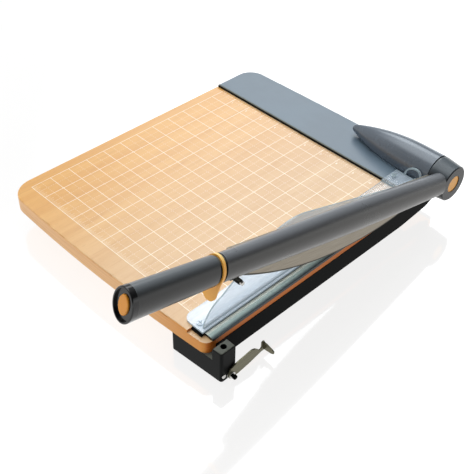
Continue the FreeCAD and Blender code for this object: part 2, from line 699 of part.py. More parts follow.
def make_arm():
    blade = blade_blank()
    fixings = blade_screws()
    core_bar = box("core_bar", "arm_x - core_half_x", "0 - core_end", "0 - core_half_z",
                   "core_half_x * 2", "core_end - core_start", "core_half_z * 2")
    make_hub(blade, core_bar)
    pin_z = "0 - pin_depth"
    pin_y = "0 - pin_s"
    pin = rod("latch_pin_rod", "pin_in", "pin_out", "pin_r", pin_y, pin_z)

    skin = oval_bar("arm_skin", ARM_STATIONS)
    hollow = oval_bar("arm_hollow", [(along, "%s - arm_wall" % half_x, "%s - arm_wall" % half_z)
                                     for along, half_x, half_z in ARM_STATIONS])
    lug = box("arm_lug", "lug_x", "0 - pin_s - lug_half", "0 - lug_depth",
              "lug_out - lug_x", "lug_half * 2", "lug_depth - 12.6")
    flat_side = box("arm_flat", "blade_out - 10", "0 - arm_end - 5", -30, 10,
                    "arm_end + 10", 60)
    rim_slope = "(hub_r - hub_rim_r) / (hub_out - hub_bevel - hub_in - hub_band)"
    drum_room = turned(body("arm_drum_room"), [
        ("hub_in - 5", 0), ("hub_out - hub_bevel + 6", 0),
        ("hub_out - hub_bevel + 6", "hub_rim_r + hub_gap - 6 * " + rim_slope),
        ("hub_in + hub_band", "hub_r + hub_gap"), ("hub_in - 5", "hub_r + hub_gap")])
    walls = cut("arm_walls", skin, hollow)
    tools = fuse("arm_tools", [flat_side, drum_room, pin] + fixings)
    keep(cut("arm_cut", fuse("arm_body", [walls, lug]), tools), "arm_tube", "arm")
    core_tools = fuse("core_tools", fixings + [DOC.getObject("core_pin_rod")])
    keep(cut("core_cut", core_bar, core_tools), "arm_core", "arm")
    keep(cut("blade_cut", blade, fuse("blade_tools", fixings)), "upper_blade", "arm")
    keep(group("blade_screw_set", fixings), "blade_screws", "arm")
    keep(group("latch_pin_node", [pin]), "latch_pin", "arm")
    sleeve = cut("sleeve_tube", rod("sleeve_outer", "lug_out", "sleeve_out", "sleeve_r",
                                    pin_y, pin_z),
                 rod("sleeve_hole", "lug_out", "sleeve_out", "pin_r", pin_y, pin_z))
    keep(group("sleeve_node", [sleeve]), "latch_pin_sleeve", "arm")
    return core_bar


def make_handle(core_bar):
    ring = oval_bar("ring_oval", [("ring_start", "ring_half_x", "ring_half_z"),
                                  ("ring_end", "ring_half_x", "ring_half_z")])
    owner = body("tongue")
    shape = sketch(owner, "XZ_Plane", "tongue_start")
    drop = "tongue_half - tongue_depth"
    outline(shape, [
        ("arm_x + tongue_half + 2", -9),
        ("arm_x - tongue_half - 2", -9),
        ("arm_x - tongue_half", drop, "tongue_half", "left"),
        ("arm_x", "0 - tongue_depth", "tongue_half", "left"),
        ("arm_x + tongue_half", drop),
    ])
    feature(owner, "Pad", shape, "tongue_end - tongue_start")
    keep(cut("ring_cut", fuse("ring_body", [ring, owner]), core_bar), "finger_ring", "arm")

    collar_size = ("collar_half_x", "collar_half_z")
    rear = oval_bar("collar_rear", [("arm_end", *collar_size), ("ring_start", *collar_size)])
    front = oval_bar("collar_front", [("ring_end", *collar_size), ("grip_start", *collar_size)])
    keep(group("collar_pair", [cut("collar_rear_cut", rear, core_bar),
                               cut("collar_front_cut", front, core_bar)]),
         "ring_collars", "arm")

    grip = oval_bar("grip_bar", [("grip_start", "grip_half_x", "grip_half_z"),
                                 ("grip_end", "end_half_x", "end_half_z")])
    keep(cut("grip_cut", grip, core_bar), "grip_sleeve", "arm")

    cap = oval_bar("cap_bar", [("grip_end", "end_half_x + 0.3", "end_half_z + 0.3"),
                               ("cap_end", "end_half_x + 0.3", "end_half_z + 0.3")])
    cap_edge = rounded("cap_edge", cap, "cap_round",
                       lambda e: flat_at(e, 1, -value("cap_end")))
    well = oval_bar("cap_well", [("cap_well_s", "cap_well_x", "cap_well_z"),
                                 ("cap_end + 1", "cap_well_x", "cap_well_z")])
    keep(cut("cap_cut", cap_edge, well), "end_cap", "arm")
    insert = oval_bar("insert_bar", [("cap_well_s", "insert_half_x", "insert_half_z"),
                                     ("insert_end", "insert_half_x", "insert_half_z")])
    keep(rounded("insert_edge", insert, "insert_round",
                 lambda e: flat_at(e, 1, -value("insert_end"))), "end_insert", "arm")


# ---------------------------------------------------------------- feet and latch

def rivet_shank(name, y, z):
    """Stem of the rivet in the foot's right face."""
    return rod(name, "foot_right - rivet_length", "foot_right", "rivet_shank_r", y, z)


def make_front_foot(sets):
    owner = body("foot_blank")
    sole = sketch(owner, "XY_Plane", "foot_under")
    outline(sole, [("foot_left", "foot_front_left"), ("foot_right", "foot_front_right"),
                   ("foot_right", "block_back"), ("foot_step", "block_back"),
                   ("foot_step", "foot_back"), ("foot_left", "foot_back")])
    feature(owner, "Pad", sole, "0 - board_thick - foot_under")
    block = sketch(owner, "XY_Plane", "0 - board_thick")
    front_slope = "(foot_front_right - foot_front_left) / (foot_right - foot_left)"
    outline(block, [
        ("block_left", "foot_front_right - (foot_right - block_left) * " + front_slope),
        ("foot_right", "foot_front_right"), ("foot_right", "block_back"),
        ("block_left", "block_back")])
    feature(owner, "Pad", block, "block_top + board_thick")
    dressed(owner, "Fillet", "Radius", "foot_round", lambda e: upright(e)
            and e.BoundBox.YMax < 0 and abs(e.BoundBox.XMax - value("block_left")) > 1)
    dressed(owner, "Fillet", "Radius", "block_round",
            lambda e: flat_at(e, 2, value("block_top")))
    hole = sketch(owner, "XY_Plane", "block_top")
    circles(hole, [("block_hole_x", "block_hole_y")], "block_hole_r")
    feature(owner, "Pocket", hole, "block_hole_depth")
    wells = sketch(owner, "XY_Plane", "foot_under")
    circles(wells, [(x, FOOT_SCREW_Y) for x in FOOT_SCREW_X], "well_r")
    feature(owner, "Pocket", wells, "floor_z + well_depth - foot_under", reverse=True)
    seats = [post("front_seat_%d" % i, x, y, "foot_under", "pad_r", "pad_sink")
             for i, (x, y) in enumerate(FRONT_PADS, start=1)]
    shank = rod("latch_shank_room", "foot_right - 12", "foot_right + 1", "latch_screw_r",
                "latch_y", "latch_z")
    rivet = rivet_shank("rivet_room", "latch_y + rivet_y", "latch_z + rivet_z")
    tools = fuse("foot_tools", sets["front_foot_screws"] + seats + [shank, rivet])
    keep(cut("foot_cut", owner, tools), "front_foot")


FRONT_PADS = [(285.5, 6), (314.5, -6)]
REAR_PADS = [(259, 340)]


def make_rear_foot(sets):
    owner = body("rear_foot_blank")
    sole = sketch(owner, "XY_Plane", "foot_under")
    rectangle(sole, "rear_foot_left", "rear_foot_front", "rear_foot_right", "rear_foot_back")
    feature(owner, "Pad", sole, "0 - board_thick - foot_under")
    dressed(owner, "Fillet", "Radius", "foot_round", upright)
    wells = sketch(owner, "XY_Plane", "foot_under")
    circles(wells, [("rear_foot_left + 10", 340), ("rear_foot_right - 10", 340)], "well_r")
    feature(owner, "Pocket", wells, "floor_z + well_depth - foot_under", reverse=True)
    seats = [post("rear_seat_%d" % i, x, y, "foot_under", "pad_r", "pad_sink")
             for i, (x, y) in enumerate(REAR_PADS, start=1)]
    keep(cut("rear_foot_cut", owner, fuse("rear_foot_tools", sets["rear_foot_screws"] + seats)),
         "rear_foot")

    pads = [post("pad_%d" % i, x, y, "floor_z", "pad_r", "foot_under + pad_sink - floor_z")
            for i, (x, y) in enumerate(FRONT_PADS + REAR_PADS, start=1)]
    keep(group("pad_set", pads), "foot_pads")

    for node, y, screw in (("front_bumper", "bumper_front_y", sets["bumper_screws"][0]),
                           ("rear_bumper", "bumper_back_y", sets["bumper_screws"][1])):
        cone = DOC.addObject("Part::Cone", node + "_cone")
        bind(cone, "Radius1", "bumper_low_r")
        bind(cone, "Radius2", "bumper_top_r")
        bind(cone, "Height", "0 - board_thick - floor_z")
        place(cone, "bumper_x", y, "floor_z")
        well = post(node + "_well", "bumper_x", y, "floor_z", "well_r", "well_depth")
        keep(cut(node + "_cut", cone, fuse(node + "_tools", [well, screw])), node)


def make_latch():
    owner = body("latch_blank")
    shape = sketch(owner, "YZ_Plane", "latch_in")
    left_wall = "notch_y - notch_r"
    right_wall = "notch_y + notch_r"
    outline(shape, [
        (0, "0 - latch_eye_r"),
        (9, "0 - latch_eye_r + 0.2"),
        (24, -1.8),
        (39.5, 2.2),
        ("latch_tip", 2.4),
        ("latch_tip", "latch_tip_top"),
        ("latch_tip - 1.4", "prong_top"),
        (right_wall + " + 0.8", "prong_top"),
        (right_wall, "prong_top - 1"),
        (right_wall, "notch_z", "notch_r", "right"),
        ("notch_y", "notch_z - notch_r", "notch_r", "right"),
        (left_wall, "notch_z"),
        (left_wall + " - 4.4", 12.6),
        (left_wall + " - 8.8", 14.3),
        (7.4, 11.8),
        (-1.8, 9.2),
        ("0 - latch_eye_r", 3.5),
        ("0 - latch_eye_r", 0, "latch_eye_r", "left"),
    ])
    feature(owner, "Pad", shape, "latch_thick")
    tab = sketch(owner, "XZ_Plane", "0 - latch_tip")
    outline(tab, [
        ("latch_in", 2.4), ("tab_reach - 3", 3.8), ("tab_reach", 5.4),
        ("tab_reach", 8.2), ("tab_reach - 2.4", 9.4), ("latch_in + 4", "latch_tip_top"),
        ("latch_in", "latch_tip_top"),
    ])
    feature(owner, "Pad", tab, "latch_thick")
    eye = sketch(owner, "YZ_Plane", "latch_in")
    circles(eye, [(0, 0)], "latch_screw_r + run_clear")
    feature(owner, "Pocket", eye, "latch_thick", reverse=True)
    keep(owner, "latch_arm", "latch")

    outside = "latch_in + latch_thick + run_clear"
    head_in = outside + " + washer_thick"
    shank = rod("latch_screw_shank", "foot_right - 12", "knob_in", "latch_screw_r")
    head = rod("latch_screw_head", "knob_in", "knob_end", "knob_r")
    dome = rounded("latch_screw_dome", head, "0.9",
                   lambda e: flat_at(e, 0, value("knob_end")))
    keep(fuse("latch_screw_shape", [shank, dome]), "latch_screw", "latch")
    keep(group("latch_washer_pair", [
        tube("latch_washer_in", "foot_right", "latch_in - run_clear", "latch_ring_r",
             "latch_screw_r"),
        tube("latch_washer_out", outside, head_in, "latch_washer_r", "latch_screw_r")]),
        "latch_washers", "latch")
    rivet_head = rod("rivet_head", "foot_right", "foot_right + rivet_proud", "rivet_head_r",
                     "rivet_y", "rivet_z")
    keep(fuse("rivet_shape", [rivet_head, rivet_shank("rivet_stem", "rivet_y", "rivet_z")]),
         "latch_rivet", "latch")


# ---------------------------------------------------------------- the clear guard

def make_guard(sets):
    owner = body("guard_blank")
    top = "guard_lift + guard_thick"
    flange = sketch(owner, "XY_Plane", "guard_lift")
    outline(flange, [
        ("guard_left_front", "guard_front + guard_corner_r", "guard_corner_r", "left"),
        ("guard_left_front + guard_corner_r", "guard_front"),
        ("guard_right", "guard_front"), ("guard_right", "guard_flange_back"),
        ("guard_left_back", "guard_flange_back"),
    ])
    feature(owner, "Pad", flange, "guard_thick")
    riser = sketch(owner, "XY_Plane", "guard_lift")
    rectangle(riser, "guard_left_back", "guard_flange_back - guard_wall", "guard_right",
              "guard_flange_back")
    feature(owner, "Pad", riser, "stop_height + guard_thick - guard_lift")
    tab = sketch(owner, "XY_Plane", "stop_height")
    outline(tab, [
        ("guard_left_back", "guard_flange_back"), ("guard_right", "guard_flange_back"),
        ("guard_right", "tab_wide_front"), ("tab_right", "tab_wide_front"),
        ("tab_right", "tab_back"), ("guard_left_back", "tab_back"),
    ])
    feature(owner, "Pad", tab, "guard_thick")
    wall = sketch(owner, "YZ_Plane", "guard_wall_x")
    outline(wall, [
        (-8, top + " - 1"), (300, top + " - 1"), (300, "stop_height + 1"),
        ("tab_back", "stop_height + 1"), ("tab_back", 8), (300, 12), (135, 67, 83.7, "left"),
        (62, 59.5), (16.6, 30.3, 34, "left"),
    ])
    feature(owner, "Pad", wall, "guard_wall")
    hoop = sketch(owner, "XZ_Plane", "0 - tab_back")
    root = "(stop_height + 1)"
    foot_z = "(hoop_top - hoop_flank_r)"
    centre_z = "(hoop_top - hoop_shoulder_r)"
    inner_flank = "(hoop_flank_r - hoop_band)"
    inner_shoulder = "(hoop_shoulder_r - hoop_band)"

    def leg_top(radius):
        return ("hoop_peak_x + %s * cos(hoop_lean)" % radius,
                "%s + %s * sin(hoop_lean)" % (centre_z, radius))

    def leg_foot(radius):
        x, z = leg_top(radius)
        return "%s + (%s - %s) * tan(hoop_lean)" % (x, z, root), root

    outline(hoop, [
        leg_foot("hoop_shoulder_r"),
        (*leg_top("hoop_shoulder_r"), "hoop_shoulder_r", "left"),
        ("hoop_peak_x", "hoop_top", "hoop_flank_r", "left"),
        ("hoop_peak_x - hoop_flank_r", foot_z),
        ("hoop_peak_x - hoop_flank_r", root),
        ("hoop_peak_x - " + inner_flank, root),
        ("hoop_peak_x - " + inner_flank, foot_z, inner_flank, "right"),
        ("hoop_peak_x", "hoop_top - hoop_band", inner_shoulder, "right"),
        leg_top(inner_shoulder),
        leg_foot(inner_shoulder),
    ])
    feature(owner, "Pad", hoop, "tab_back - hoop_front")
    tools = fuse("guard_tools", sets["guard_screws"] + sets["tab_screws"])
    keep(cut("guard_cut", owner, tools), "blade_guard")

    rings = []
    for y, screw in zip(GUARD_SCREW_Y, sets["guard_screws"]):
        disc = post(screw.Name + "_spacer", "guard_screw_x", y, 0, 4, "guard_lift")
        rings.append(cut(screw.Name + "_ring", disc, screw))
    keep(group("spacer_set", rings), "guard_spacers")


# ---------------------------------------------------------------- the whole cutter

def build():
    sets = make_fasteners()
    sets["tab_screws"] = screws(
        "tab_screw", [(272, 314, "stop_height + guard_thick")], 13, "up")
    make_base_board(sets)
    make_bed(sets)
    make_rear_cover(sets)
    make_pivot(sets)
    core_bar = make_arm()
    make_handle(core_bar)
    make_front_foot(sets)
    make_rear_foot(sets)
    make_latch()
    make_guard(sets)
    sets["guard_screws"] = sets["guard_screws"] + sets.pop("tab_screws")
    for node, items in sets.items():
        keep(group(node + "_set", items), node)


def check_and_export():
    DOC.recompute()
    for item in DOC.Objects:
        if "Invalid" in item.State or "Error" in item.State:
            raise RuntimeError("%s failed: %s" % (item.Name, item.State))
    os.makedirs("parts", exist_ok=True)
    total = FreeCAD.BoundBox()
    for item in NODES:
        shape = item.Shape
        if shape.isNull() or not shape.isValid() or not shape.Solids:
            raise RuntimeError("%s has no valid solid" % item.Label)
        total.add(shape.BoundBox)
        shape.exportStep("parts/%s.step" % item.Label)
        print("%-20s solids %2d volume %10.0f" % (item.Label, len(shape.Solids), shape.Volume))
    print("nodes", len(NODES), "box", total)


build()
check_and_export()
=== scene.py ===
"""Look of the guillotine paper cutter: materials, printed ruling, studio and camera."""

import json
import math

import bpy
from mathutils import Matrix, Vector


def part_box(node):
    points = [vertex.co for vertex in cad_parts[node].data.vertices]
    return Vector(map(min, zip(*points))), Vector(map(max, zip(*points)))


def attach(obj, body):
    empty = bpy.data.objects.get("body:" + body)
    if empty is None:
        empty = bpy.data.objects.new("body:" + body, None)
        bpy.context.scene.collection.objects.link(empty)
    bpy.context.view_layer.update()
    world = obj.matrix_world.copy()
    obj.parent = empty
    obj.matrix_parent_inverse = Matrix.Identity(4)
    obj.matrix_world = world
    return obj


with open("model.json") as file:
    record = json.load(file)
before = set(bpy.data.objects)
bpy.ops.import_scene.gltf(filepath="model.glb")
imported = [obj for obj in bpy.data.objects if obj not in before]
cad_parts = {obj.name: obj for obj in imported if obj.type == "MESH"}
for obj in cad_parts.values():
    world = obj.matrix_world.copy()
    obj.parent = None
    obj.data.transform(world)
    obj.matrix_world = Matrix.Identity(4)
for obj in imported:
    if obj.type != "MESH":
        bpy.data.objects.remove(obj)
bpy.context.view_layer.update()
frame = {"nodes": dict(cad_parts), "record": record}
NODES = frame["nodes"]

board_low, board_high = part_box("base_board")
stop_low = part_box("paper_stop")[0]
cap_low, cap_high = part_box("hub_cap")

# ------------------------------------------------------------------ sizes, in metres

INCH = 0.0254
ARM_TILT = math.radians(15.06)          # the arm above level, at rest
PIVOT = (cap_low + cap_high) / 2
BOARD_TOP = board_high.z
RULE_X = board_low.x + 0.0138           # zero corner of the printed ruling
RULE_Y = stop_low.y - 0.3018
WALL_FOOT = BOARD_TOP + 0.0054          # foot of the guard's upright wall

# cutting edge: an arc in the arm's level frame, which has its origin at the pivot
EDGE_RADIUS = 0.430
EDGE_CENTRE_Y = -0.190
EDGE_CENTRE_Z = EDGE_RADIUS - 0.0536
HONED_WIDTH = 0.0030
HONED_BLEND = 0.0006

# printed ruling: line widths in metres, places and periods in inches
WHOLE_LINE = 0.00052
HALF_LINE = 0.00042
BACK_TICK = 0.00038
FRONT_TICK = 0.00034
LINE_EDGE_IN = 0.00008                  # reach of a line's soft edge inwards and outwards
LINE_EDGE_OUT = 0.00012
DASH_PERIOD = 1 / 8
DASH_GAP = (0.020, 0.030)
FIELD_START = (-0.018, -0.012)
FIELD_RIGHT = (11.02, 11.03)
FIELD_DEPTH = 12
TICK_ROWS = ((1 / 16, 11.80), (1 / 8, 11.74), (1 / 4, 11.66), (1 / 2, 11.58))
TICK_FADE = 0.01
FRONT_TICK_TRIM = 0.05                  # the front ticks are this much shorter

NUMERALS = range(1, 12)
NUMERAL_SIZE = 0.0042
NUMERAL_ASIDE = 0.0032                  # to the right of its inch line
NUMERAL_ROW = 11.30                     # inches from the ruling's zero line
INK_DEPTH = 0.00002

# lay of ground steel's scratches: noise scale along x, y and z
LENGTHWISE = (3200, 22, 3200)
CROSSWISE = (22, 3200, 3200)

# sockets of the colour Mix node
MIX_FACTOR, MIX_FIRST, MIX_SECOND, MIX_RESULT = 0, 6, 7, 2


def linear(red, green, blue):
    """Scene colour of an sRGB colour given in 0 to 255."""
    parts = [c / 255 for c in (red, green, blue)]
    return [c / 12.92 if c <= 0.04045 else ((c + 0.055) / 1.055) ** 2.4 for c in parts] + [1.0]


class Nodes:
    """A node tree under construction: short calls for the nodes it needs."""

    def __init__(self, tree, coordinates):
        self.tree = tree
        self.place = self.node("ShaderNodeTexCoord").outputs[coordinates]

    def node(self, kind, **settings):
        item = self.tree.nodes.new(kind)
        for name, setting in settings.items():
            setattr(item, name, setting)
        return item

    def put(self, socket, source):
        """Links a socket to another node's output, or sets its value."""
        if isinstance(source, bpy.types.NodeSocket):
            self.tree.links.new(source, socket)
        else:
            socket.default_value = source

    def math(self, operation, *sources):
        item = self.node("ShaderNodeMath", operation=operation)
        for socket, source in zip(item.inputs, sources):
            self.put(socket, source)
        return item.outputs[0]

    def vector(self, operation, first, second, output="Vector"):
        item = self.node("ShaderNodeVectorMath", operation=operation)
        self.put(item.inputs[0], first)
        self.put(item.inputs[1], second)
        return item.outputs[output]

    def axes(self, place=None):
        item = self.node("ShaderNodeSeparateXYZ")
        self.put(item.inputs[0], place or self.place)
        return item.outputs

    def step(self, source, low, high, out_low=0.0, out_high=1.0):
        """Smooth step of a value from one level to another."""
        item = self.node("ShaderNodeMapRange", interpolation_type="SMOOTHSTEP")
        for index, amount in enumerate((source, low, high, out_low, out_high)):
            self.put(item.inputs[index], amount)
        return item.outputs[0]

    def either(self, first, second):
        return self.math("MAXIMUM", first, second)

    def both(self, *masks):
        product = masks[0]
        for mask in masks[1:]:
            product = self.math("MULTIPLY", product, mask)
        return product


class Shade(Nodes):
    """A material under construction."""

    def __init__(self, name, color, roughness, **sockets):
        self.material = bpy.data.materials.new(name)
        self.material.use_nodes = True
        super().__init__(self.material.node_tree, "Object")
        self.shader = self.tree.nodes["Principled BSDF"]
        self.shader.inputs["Base Color"].default_value = color
        self.shader.inputs["Roughness"].default_value = roughness
        for socket, amount in sockets.items():
            self.shader.inputs[socket.replace("_", " ")].default_value = amount
        self.heights = []
        self.base_normal = None

    def turned(self, place, angles):
        item = self.node("ShaderNodeMapping")
        self.put(item.inputs["Vector"], place)
        item.inputs["Rotation"].default_value = angles
        return item.outputs[0]

    def stretched(self, scale, place=None):
        return self.vector("MULTIPLY", place or self.place, scale)

    def noise(self, place, scale=1.0, detail=3.0, rough=0.55, distortion=0.0):
        item = self.node("ShaderNodeTexNoise")
        self.put(item.inputs["Vector"], place)
        item.inputs["Scale"].default_value = scale
        item.inputs["Detail"].default_value = detail
        item.inputs["Roughness"].default_value = rough
        item.inputs["Distortion"].default_value = distortion
        return item.outputs[0]

    def mix(self, factor, first, second, blend="MIX"):
        item = self.node("ShaderNodeMix", data_type="RGBA", blend_type=blend)
        self.put(item.inputs[MIX_FACTOR], factor)
        self.put(item.inputs[MIX_FIRST], first)
        self.put(item.inputs[MIX_SECOND], second)
        return item.outputs[MIX_RESULT]

    def normal(self):
        """The surface's direction on the three axes."""
        return self.axes(self.node("ShaderNodeTexCoord").outputs["Normal"])

    def facing_up(self, low=0.6, high=0.95):
        return self.step(self.normal()[2], low, high)

    def soft_edges(self, radius):
        """Shades sharp edges as if they were rounded off by a small radius, in metres."""
        item = self.node("ShaderNodeBevel", samples=4)
        item.inputs["Radius"].default_value = radius
        self.base_normal = item.outputs[0]

    def socket(self, name, source):
        self.put(self.shader.inputs[name], source)

    def color(self, source):
        self.socket("Base Color", source)

    def roughness(self, base, mask, spread):
        """Roughness from base up to base + spread, by a mask."""
        self.socket("Roughness", self.math("ADD", base, self.math("MULTIPLY", mask, spread)))

    def bump(self, height, distance, strength):
        """Adds one layer of relief; distance is its depth in metres."""
        self.heights.append((height, distance, strength))

    def finish(self):
        last = self.base_normal
        for height, distance, strength in self.heights:
            item = self.node("ShaderNodeBump")
            item.inputs["Strength"].default_value = strength
            item.inputs["Distance"].default_value = distance
            self.put(item.inputs["Height"], height)
            if last:
                self.put(item.inputs["Normal"], last)
            last = item.outputs[0]
        if last:
            self.socket("Normal", last)
        return self.material


# ------------------------------------------------------------------ materials

def ruling_mask(shade, x, y):
    """Printed inch ruling: whole lines, dashed half lines, and ticks at the back and front."""
    u = shade.math("DIVIDE", shade.math("SUBTRACT", x, RULE_X), INCH)
    v = shade.math("DIVIDE", shade.math("SUBTRACT", y, RULE_Y), INCH)

    def lines(value, period, width):
        """Mask of printed lines at each multiple of a period in inches."""
        gap = shade.math("MULTIPLY", shade.math("PINGPONG", value, period / 2), INCH)
        return shade.step(gap, width / 2 - LINE_EDGE_IN, width / 2 + LINE_EDGE_OUT, 1.0, 0.0)

    def dashes(value):
        """Mask that breaks a line into dashes as a value in inches goes along it."""
        return shade.step(shade.math("PINGPONG", value, DASH_PERIOD / 2), *DASH_GAP)

    whole = shade.either(lines(u, 1, WHOLE_LINE), lines(v, 1, WHOLE_LINE))
    half_u = shade.both(lines(shade.math("ADD", u, 0.5), 1, HALF_LINE), dashes(v))
    half_v = shade.both(lines(shade.math("ADD", v, 0.5), 1, HALF_LINE), dashes(u))
    half = shade.either(half_u, half_v)
    mask = shade.either(whole, shade.math("MULTIPLY", half, 0.5))
    for period, start in TICK_ROWS:
        back = shade.step(v, start, start + TICK_FADE)
        ticks = shade.both(lines(u, period, BACK_TICK), back)
        mask = shade.either(mask, shade.math("MULTIPLY", ticks, 0.9))
        end = FIELD_DEPTH - start - FRONT_TICK_TRIM
        front = shade.step(v, end, end + TICK_FADE, 1.0, 0.0)
        ticks = shade.both(lines(u, period, FRONT_TICK), front)
        mask = shade.either(mask, shade.math("MULTIPLY", ticks, 0.5))
    field = shade.both(shade.step(u, *FIELD_START), shade.step(v, *FIELD_START),
                       shade.step(u, *FIELD_RIGHT, 1.0, 0.0))
    return shade.both(mask, field)


def make_wood():
    """Lacquered board: straw top with worn printed ruling and a painted sheen, orange right
    side, layered sides with painted light and shade.
    """
    shade = Shade("wood", linear(208, 160, 94), 0.30, Coat_Roughness=0.16)
    x, y = shade.axes()[:2]
    broad = shade.noise(shade.stretched((55, 4.0, 55)), detail=4, distortion=0.6)
    grain = shade.noise(shade.stretched((420, 14, 420)), detail=5, rough=0.62)
    pores = shade.noise(shade.stretched((2300, 110, 2300)), detail=2)
    layers = shade.noise(shade.stretched((9, 9, 900)), detail=2)

    # top: more orange on the left, greyer and paler on the right, a painted sheen of the lacquer
    across = shade.step(x, board_low.x, board_low.x + 0.26)
    deep = shade.mix(across, linear(220, 159, 79), linear(206, 165, 118))
    pale = shade.mix(across, linear(228, 172, 94), linear(214, 177, 131))
    top = shade.mix(shade.step(broad, 0.30, 0.72), deep, pale)
    top = shade.mix(shade.step(grain, 0.50, 0.74, 0.0, 0.34), top, linear(190, 130, 72))
    top = shade.mix(shade.step(pores, 0.60, 0.72, 0.0, 0.25), top, linear(156, 100, 50))

    # sides: a darker orange on the right, painted shade; the other three paler to the left,
    # painted light
    right = shade.mix(shade.step(layers, 0.40, 0.62), linear(200, 106, 34), linear(212, 122, 46))
    right = shade.mix(shade.step(grain, 0.45, 0.75, 0.0, 0.35), right, linear(178, 102, 42))
    others = shade.mix(shade.step(x, 0.02, board_high.x), linear(243, 193, 138),
                       linear(222, 148, 68))
    others = shade.mix(shade.step(layers, 0.40, 0.62, 0.0, 0.25), others, linear(190, 124, 66))
    sides = shade.mix(shade.step(shade.normal()[0], 0.5, 0.9), others, right)

    up = shade.facing_up()
    wear = shade.step(shade.noise(shade.place, 160, detail=4), 0.2, 0.55, 0.62, 0.96)
    printed = shade.both(ruling_mask(shade, x, y), up, wear)
    shade.color(shade.mix(printed, shade.mix(up, sides, top), linear(255, 244, 222)))
    shade.socket("Coat Weight", shade.math("MULTIPLY", up, 0.3))
    shade.socket("Specular IOR Level", shade.step(up, 0.0, 1.0, 0.12, 0.5))
    shade.roughness(0.27, grain, 0.16)
    shade.soft_edges(0.0006)
    shade.bump(grain, 0.00006, 0.3)
    shade.bump(pores, 0.00003, 0.3)
    shade.bump(printed, 0.00003, 0.5)
    return shade.finish()


def make_plastic(name, color, roughness, grain=900, depth=0.00005, mottle=0.10, edges=0.0,
                 painted_top_highlight=None, **sockets):
    """Moulded plastic: fine leather-like grain, slight mottling, rubbed patches and a painted
    top highlight.
    """
    shade = Shade(name, color, roughness, **sockets)
    fine = shade.noise(shade.place, grain, detail=3)
    large = shade.noise(shade.place, 22, detail=4)
    rubbed = [min(1.0, c * (1 + mottle) + 0.002) for c in color[:3]] + [1.0]
    tone = shade.mix(shade.step(large, 0.35, 0.70), color, rubbed)
    # painted highlight: faces that look up take a lighter colour, as if lit from above
    if painted_top_highlight:
        tone = shade.mix(shade.facing_up(0.45, 0.98), tone, painted_top_highlight)
    shade.color(tone)
    shade.roughness(roughness - 0.04, shade.step(large, 0.3, 0.7), 0.08)
    if edges:
        shade.soft_edges(edges)
    shade.bump(fine, depth, 0.55)
    return shade.finish()


def make_steel(name, color, roughness, along=LENGTHWISE, mark=0.18):
    """Ground steel: fine scratches along one direction, with faint stains."""
    shade = Shade(name, color, roughness, Metallic=1.0)
    scratch = shade.noise(shade.stretched(along), detail=4, rough=0.6)
    stain = shade.noise(shade.place, 45, detail=5)
    dark = [c * (1 - mark) for c in color[:3]] + [1.0]
    bright = [min(1.0, c * (1 + mark * 0.6)) for c in color[:3]] + [1.0]
    tone = shade.mix(shade.step(scratch, 0.35, 0.65), dark, bright)
    shade.color(shade.mix(shade.step(stain, 0.5, 0.75, 0.0, 0.25), tone, dark))
    shade.roughness(roughness - 0.06, scratch, 0.16)
    shade.soft_edges(0.0003)
    shade.bump(scratch, 0.00002, 0.35)
    return shade.finish()


def make_bed_steel():
    """Bed blade: near white beside the bed plate, darker across to the cut side and towards the
    pivot.
    """
    shade = Shade("bed_steel", linear(120, 130, 130), 0.34, Metallic=1.0)
    low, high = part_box("lower_blade")
    x, y = shade.axes()[:2]
    across = shade.math("DIVIDE", shade.math("SUBTRACT", x, low.x), high.x - low.x)
    along = shade.step(y, low.y + 0.03, low.y + 0.26)
    scratch = shade.noise(shade.stretched(LENGTHWISE), detail=4, rough=0.6)
    stain = shade.noise(shade.stretched((60, 12, 60)), detail=5)
    # lighter on the left, darker on the right, across the strip
    tone = shade.mix(shade.step(across, 0.10, 0.45), linear(240, 236, 220),
                     linear(162, 176, 170))
    tone = shade.mix(shade.step(across, 0.45, 0.95), tone, linear(58, 66, 68))
    tone = shade.mix(shade.step(scratch, 0.35, 0.65, 0.0, 0.3), tone, linear(50, 56, 58))
    tone = shade.mix(shade.step(stain, 0.5, 0.75, 0.0, 0.25), tone, linear(70, 74, 72))
    # darker and browner towards the pivot
    tone = shade.mix(along, tone, shade.mix(0.95, tone, linear(98, 94, 84), "MULTIPLY"))
    up = shade.facing_up(0.4, 0.7)
    shade.color(shade.mix(up, linear(16, 17, 18), tone))
    shade.socket("Metallic", up)
    shade.roughness(0.28, scratch, 0.16)
    shade.soft_edges(0.0002)
    shade.bump(scratch, 0.00002, 0.3)
    return shade.finish()


def make_cutting_blade():
    """Ground steel with a dark band along the bevel of the curved cutting edge, a painted
    reflection.
    """
    shade = Shade("blade_steel", linear(176, 167, 152), 0.36, Metallic=1.0)
    level = shade.turned(shade.vector("SUBTRACT", shade.place, PIVOT), (ARM_TILT, 0, 0))
    y, z = shade.axes(level)[1:]
    scratch = shade.noise(shade.stretched((2600, 26, 2600), level), detail=4, rough=0.6)
    stain = shade.noise(shade.place, 38, detail=5)
    tone = shade.mix(shade.step(scratch, 0.33, 0.67), linear(136, 128, 114),
                     linear(160, 152, 138))
    tone = shade.mix(shade.step(stain, 0.52, 0.8, 0.0, 0.3), tone, linear(140, 130, 114))
    along = shade.math("SUBTRACT", y, EDGE_CENTRE_Y)
    rise = shade.math("SUBTRACT", z, EDGE_CENTRE_Z)
    reach = shade.math("SQRT", shade.math("ADD", shade.math("MULTIPLY", along, along),
                                          shade.math("MULTIPLY", rise, rise)))
    # painted reflection: the bevel along the cutting edge is darkened, as if it mirrored dark
    # surroundings
    honed_from = EDGE_RADIUS - HONED_WIDTH
    dark_edge_reflection = shade.step(reach, honed_from, honed_from + HONED_BLEND)
    shade.color(shade.mix(dark_edge_reflection, tone, linear(70, 66, 58)))
    shade.roughness(0.26, scratch, 0.18)
    shade.bump(scratch, 0.00002, 0.35)
    return shade.finish()


